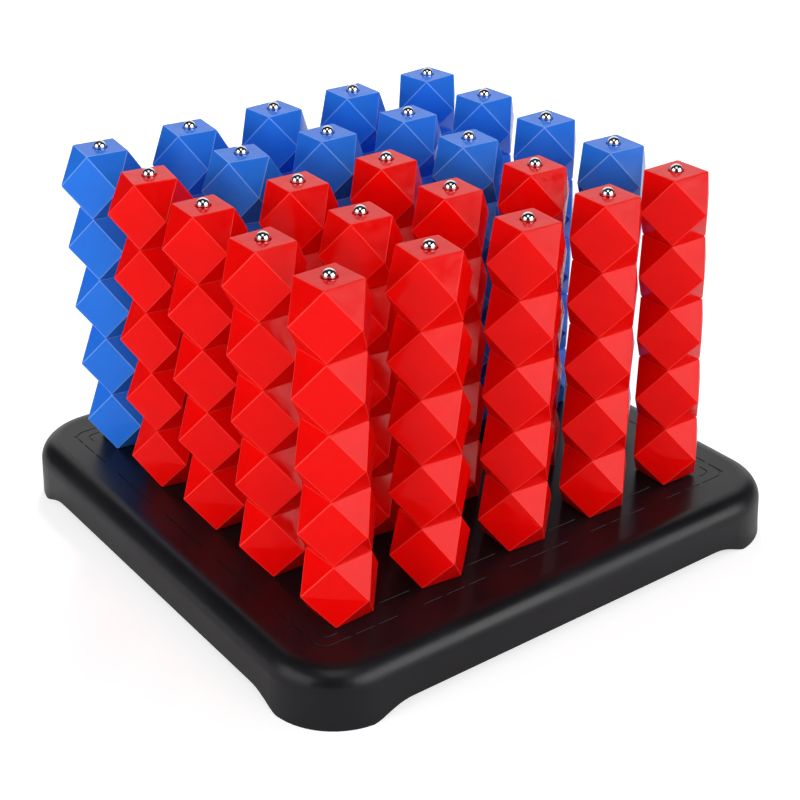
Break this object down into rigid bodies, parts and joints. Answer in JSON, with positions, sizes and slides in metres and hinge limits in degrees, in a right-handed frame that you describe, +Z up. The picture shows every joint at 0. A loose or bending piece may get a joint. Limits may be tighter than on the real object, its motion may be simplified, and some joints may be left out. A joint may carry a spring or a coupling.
{
  "type": "four-in-a-row game",
  "caption": "Bead-stacking line game: faceted beads threaded on upright steel rods in a low black tray; the columns turn on their rods and the top beads lift off.",
  "frame": {"origin": "middle of the square tray, in the plane of its feet's undersides", "axes": "+Z up along the rods; +X along a row of rods and +Y along a column of rods, both parallel to the tray's sides"},
  "size_m": [0.1882, 0.1882, 0.1259],
  "materials": {
    "tray_black": "moulded black ABS, glossy",
    "rod_chrome": "polished, chrome-plated steel",
    "bead_red": "moulded red ABS, glossy",
    "bead_blue": "moulded blue ABS, glossy"
  },
  "bodies": {
    "base": {"base_tray": "tray_black", "rods_row_1": "rod_chrome", "rods_row_2": "rod_chrome", "rods_row_3": "rod_chrome", "rods_row_4": "rod_chrome", "rods_row_5": "rod_chrome"},
    "column_r1c1": {"stack_r1c1": "bead_red"},
    "top_bead_r1c1": {"top_r1c1": "bead_red"},
    "column_r1c2": {"stack_r1c2": "bead_red"},
    "top_bead_r1c2": {"top_r1c2": "bead_red"},
    "column_r1c3": {"stack_r1c3": "bead_red"},
    "top_bead_r1c3": {"top_r1c3": "bead_red"},
    "column_r1c4": {"stack_r1c4": "bead_red"},
    "top_bead_r1c4": {"top_r1c4": "bead_red"},
    "column_r1c5": {"stack_r1c5": "bead_red"},
    "top_bead_r1c5": {"top_r1c5": "bead_red"},
    "column_r2c1": {"stack_r2c1": "bead_red"},
    "top_bead_r2c1": {"top_r2c1": "bead_red"},
    "column_r2c2": {"stack_r2c2": "bead_red"},
    "top_bead_r2c2": {"top_r2c2": "bead_red"},
    "column_r2c3": {"stack_r2c3": "bead_red"},
    "top_bead_r2c3": {"top_r2c3": "bead_red"},
    "column_r2c4": {"stack_r2c4": "bead_red"},
    "top_bead_r2c4": {"top_r2c4": "bead_red"},
    "column_r2c5": {"stack_r2c5": "bead_blue"},
    "top_bead_r2c5": {"top_r2c5": "bead_blue"},
    "column_r3c1": {"stack_r3c1": "bead_red"},
    "top_bead_r3c1": {"top_r3c1": "bead_red"},
    "column_r3c2": {"stack_r3c2": "bead_red"},
    "top_bead_r3c2": {"top_r3c2": "bead_red"},
    "column_r3c3": {"stack_r3c3": "bead_red"},
    "top_bead_r3c3": {"top_r3c3": "bead_red"},
    "column_r3c4": {"stack_r3c4": "bead_blue"},
    "top_bead_r3c4": {"top_r3c4": "bead_blue"},
    "column_r3c5": {"stack_r3c5": "bead_blue"},
    "top_bead_r3c5": {"top_r3c5": "bead_blue"},
    "column_r4c1": {"stack_r4c1": "bead_red"},
    "top_bead_r4c1": {"top_r4c1": "bead_red"},
    "column_r4c2": {"stack_r4c2": "bead_blue"},
    "top_bead_r4c2": {"top_r4c2": "bead_blue"},
    "column_r4c3": {"stack_r4c3": "bead_blue"},
    "top_bead_r4c3": {"top_r4c3": "bead_blue"},
    "column_r4c4": {"stack_r4c4": "bead_blue"},
    "top_bead_r4c4": {"top_r4c4": "bead_blue"},
    "column_r4c5": {"stack_r4c5": "bead_blue"},
    "top_bead_r4c5": {"top_r4c5": "bead_blue"},
    "column_r5c1": {"stack_r5c1": "bead_blue"},
    "top_bead_r5c1": {"top_r5c1": "bead_blue"},
    "column_r5c2": {"stack_r5c2": "bead_blue"},
    "top_bead_r5c2": {"top_r5c2": "bead_blue"},
    "column_r5c3": {"stack_r5c3": "bead_blue"},
    "top_bead_r5c3": {"top_r5c3": "bead_blue"},
    "column_r5c4": {"stack_r5c4": "bead_blue"},
    "top_bead_r5c4": {"top_r5c4": "bead_blue"},
    "column_r5c5": {"stack_r5c5": "bead_blue"},
    "top_bead_r5c5": {"top_r5c5": "bead_blue"}
  },
  "joints": [
    {"name": "spin_r1c1", "type": "hinge", "parent": "base", "child": "column_r1c1", "pos_m": [-0.06499, -0.06499, 0.0608], "axis": [0, 0, 1], "continuous": true},
    {"name": "lift_r1c1", "type": "slide", "parent": "column_r1c1", "child": "top_bead_r1c1", "axis": [0, 0, 1], "range_m": [0, 0.026]},
    {"name": "spin_r1c2", "type": "hinge", "parent": "base", "child": "column_r1c2", "pos_m": [-0.03249, -0.06499, 0.0608], "axis": [0, 0, 1], "continuous": true},
    {"name": "lift_r1c2", "type": "slide", "parent": "column_r1c2", "child": "top_bead_r1c2", "axis": [0, 0, 1], "range_m": [0, 0.026]},
    {"name": "spin_r1c3", "type": "hinge", "parent": "base", "child": "column_r1c3", "pos_m": [0.00056, -0.06539, 0.06095], "axis": [0.0133, -0.0095, 0.9999], "continuous": true},
    {"name": "lift_r1c3", "type": "slide", "parent": "column_r1c3", "child": "top_bead_r1c3", "axis": [0.0133, -0.0095, 0.9999], "range_m": [0, 0.026]},
    {"name": "spin_r1c4", "type": "hinge", "parent": "base", "child": "column_r1c4", "pos_m": [0.03249, -0.06499, 0.0608], "axis": [0, 0, 1], "continuous": true},
    {"name": "lift_r1c4", "type": "slide", "parent": "column_r1c4", "child": "top_bead_r1c4", "axis": [0, 0, 1], "range_m": [0, 0.026]},
    {"name": "spin_r1c5", "type": "hinge", "parent": "base", "child": "column_r1c5", "pos_m": [0.06394, -0.0641, 0.06108], "axis": [-0.0247, 0.0209, 0.9995], "continuous": true},
    {"name": "lift_r1c5", "type": "slide", "parent": "column_r1c5", "child": "top_bead_r1c5", "axis": [-0.0247, 0.0209, 0.9995], "range_m": [0, 0.026]},
    {"name": "spin_r2c1", "type": "hinge", "parent": "base", "child": "column_r2c1", "pos_m": [-0.06499, -0.03249, 0.0608], "axis": [0, 0, 1], "continuous": true},
    {"name": "lift_r2c1", "type": "slide", "parent": "column_r2c1", "child": "top_bead_r2c1", "axis": [0, 0, 1], "range_m": [0, 0.026]},
    {"name": "spin_r2c2", "type": "hinge", "parent": "base", "child": "column_r2c2", "pos_m": [-0.03249, -0.03249, 0.0608], "axis": [0, 0, 1], "continuous": true},
    {"name": "lift_r2c2", "type": "slide", "parent": "column_r2c2", "child": "top_bead_r2c2", "axis": [0, 0, 1], "range_m": [0, 0.026]},
    {"name": "spin_r2c3", "type": "hinge", "parent": "base", "child": "column_r2c3", "pos_m": [0, -0.03249, 0.0608], "axis": [0, 0, 1], "continuous": true},
    {"name": "lift_r2c3", "type": "slide", "parent": "column_r2c3", "child": "top_bead_r2c3", "axis": [0, 0, 1], "range_m": [0, 0.026]},
    {"name": "spin_r2c4", "type": "hinge", "parent": "base", "child": "column_r2c4", "pos_m": [0.03249, -0.03249, 0.0608], "axis": [0, 0, 1], "continuous": true},
    {"name": "lift_r2c4", "type": "slide", "parent": "column_r2c4", "child": "top_bead_r2c4", "axis": [0, 0, 1], "range_m": [0, 0.026]},
    {"name": "spin_r2c5", "type": "hinge", "parent": "base", "child": "column_r2c5", "pos_m": [0.06499, -0.03249, 0.0608], "axis": [0, 0, 1], "continuous": true},
    {"name": "lift_r2c5", "type": "slide", "parent": "column_r2c5", "child": "top_bead_r2c5", "axis": [0, 0, 1], "range_m": [0, 0.026]},
    {"name": "spin_r3c1", "type": "hinge", "parent": "base", "child": "column_r3c1", "pos_m": [-0.06499, 0, 0.0608], "axis": [0, 0, 1], "continuous": true},
    {"name": "lift_r3c1", "type": "slide", "parent": "column_r3c1", "child": "top_bead_r3c1", "axis": [0, 0, 1], "range_m": [0, 0.026]},
    {"name": "spin_r3c2", "type": "hinge", "parent": "base", "child": "column_r3c2", "pos_m": [-0.03249, 0, 0.0608], "axis": [0, 0, 1], "continuous": true},
    {"name": "lift_r3c2", "type": "slide", "parent": "column_r3c2", "child": "top_bead_r3c2", "axis": [0, 0, 1], "range_m": [0, 0.026]},
    {"name": "spin_r3c3", "type": "hinge", "parent": "base", "child": "column_r3c3", "pos_m": [0, 0, 0.0608], "axis": [0, 0, 1], "continuous": true},
    {"name": "lift_r3c3", "type": "slide", "parent": "column_r3c3", "child": "top_bead_r3c3", "axis": [0, 0, 1], "range_m": [0, 0.026]},
    {"name": "spin_r3c4", "type": "hinge", "parent": "base", "child": "column_r3c4", "pos_m": [0.03249, 0, 0.0608], "axis": [0, 0, 1], "continuous": true},
    {"name": "lift_r3c4", "type": "slide", "parent": "column_r3c4", "child": "top_bead_r3c4", "axis": [0, 0, 1], "range_m": [0, 0.026]},
    {"name": "spin_r3c5", "type": "hinge", "parent": "base", "child": "column_r3c5", "pos_m": [0.06499, 0, 0.0608], "axis": [0, 0, 1], "continuous": true},
    {"name": "lift_r3c5", "type": "slide", "parent": "column_r3c5", "child": "top_bead_r3c5", "axis": [0, 0, 1], "range_m": [0, 0.026]},
    {"name": "spin_r4c1", "type": "hinge", "parent": "base", "child": "column_r4c1", "pos_m": [-0.06499, 0.03249, 0.0608], "axis": [0, 0, 1], "continuous": true},
    {"name": "lift_r4c1", "type": "slide", "parent": "column_r4c1", "child": "top_bead_r4c1", "axis": [0, 0, 1], "range_m": [0, 0.026]},
    {"name": "spin_r4c2", "type": "hinge", "parent": "base", "child": "column_r4c2", "pos_m": [-0.03249, 0.03249, 0.0608], "axis": [0, 0, 1], "continuous": true},
    {"name": "lift_r4c2", "type": "slide", "parent": "column_r4c2", "child": "top_bead_r4c2", "axis": [0, 0, 1], "range_m": [0, 0.026]},
    {"name": "spin_r4c3", "type": "hinge", "parent": "base", "child": "column_r4c3", "pos_m": [0, 0.03249, 0.0608], "axis": [0, 0, 1], "continuous": true},
    {"name": "lift_r4c3", "type": "slide", "parent": "column_r4c3", "child": "top_bead_r4c3", "axis": [0, 0, 1], "range_m": [0, 0.026]},
    {"name": "spin_r4c4", "type": "hinge", "parent": "base", "child": "column_r4c4", "pos_m": [0.03249, 0.03249, 0.0608], "axis": [0, 0, 1], "continuous": true},
    {"name": "lift_r4c4", "type": "slide", "parent": "column_r4c4", "child": "top_bead_r4c4", "axis": [0, 0, 1], "range_m": [0, 0.026]},
    {"name": "spin_r4c5", "type": "hinge", "parent": "base", "child": "column_r4c5", "pos_m": [0.06499, 0.03249, 0.0608], "axis": [0, 0, 1], "continuous": true},
    {"name": "lift_r4c5", "type": "slide", "parent": "column_r4c5", "child": "top_bead_r4c5", "axis": [0, 0, 1], "range_m": [0, 0.026]},
    {"name": "spin_r5c1", "type": "hinge", "parent": "base", "child": "column_r5c1", "pos_m": [-0.06499, 0.06499, 0.0608], "axis": [0, 0, 1], "continuous": true},
    {"name": "lift_r5c1", "type": "slide", "parent": "column_r5c1", "child": "top_bead_r5c1", "axis": [0, 0, 1], "range_m": [0, 0.026]},
    {"name": "spin_r5c2", "type": "hinge", "parent": "base", "child": "column_r5c2", "pos_m": [-0.03249, 0.06499, 0.0608], "axis": [0, 0, 1], "continuous": true},
    {"name": "lift_r5c2", "type": "slide", "parent": "column_r5c2", "child": "top_bead_r5c2", "axis": [0, 0, 1], "range_m": [0, 0.026]},
    {"name": "spin_r5c3", "type": "hinge", "parent": "base", "child": "column_r5c3", "pos_m": [0, 0.06499, 0.0608], "axis": [0, 0, 1], "continuous": true},
    {"name": "lift_r5c3", "type": "slide", "parent": "column_r5c3", "child": "top_bead_r5c3", "axis": [0, 0, 1], "range_m": [0, 0.026]},
    {"name": "spin_r5c4", "type": "hinge", "parent": "base", "child": "column_r5c4", "pos_m": [0.03249, 0.06499, 0.0608], "axis": [0, 0, 1], "continuous": true},
    {"name": "lift_r5c4", "type": "slide", "parent": "column_r5c4", "child": "top_bead_r5c4", "axis": [0, 0, 1], "range_m": [0, 0.026]},
    {"name": "spin_r5c5", "type": "hinge", "parent": "base", "child": "column_r5c5", "pos_m": [0.06499, 0.06499, 0.0608], "axis": [0, 0, 1], "continuous": true},
    {"name": "lift_r5c5", "type": "slide", "parent": "column_r5c5", "child": "top_bead_r5c5", "axis": [0, 0, 1], "range_m": [0, 0.026]}
  ]
}
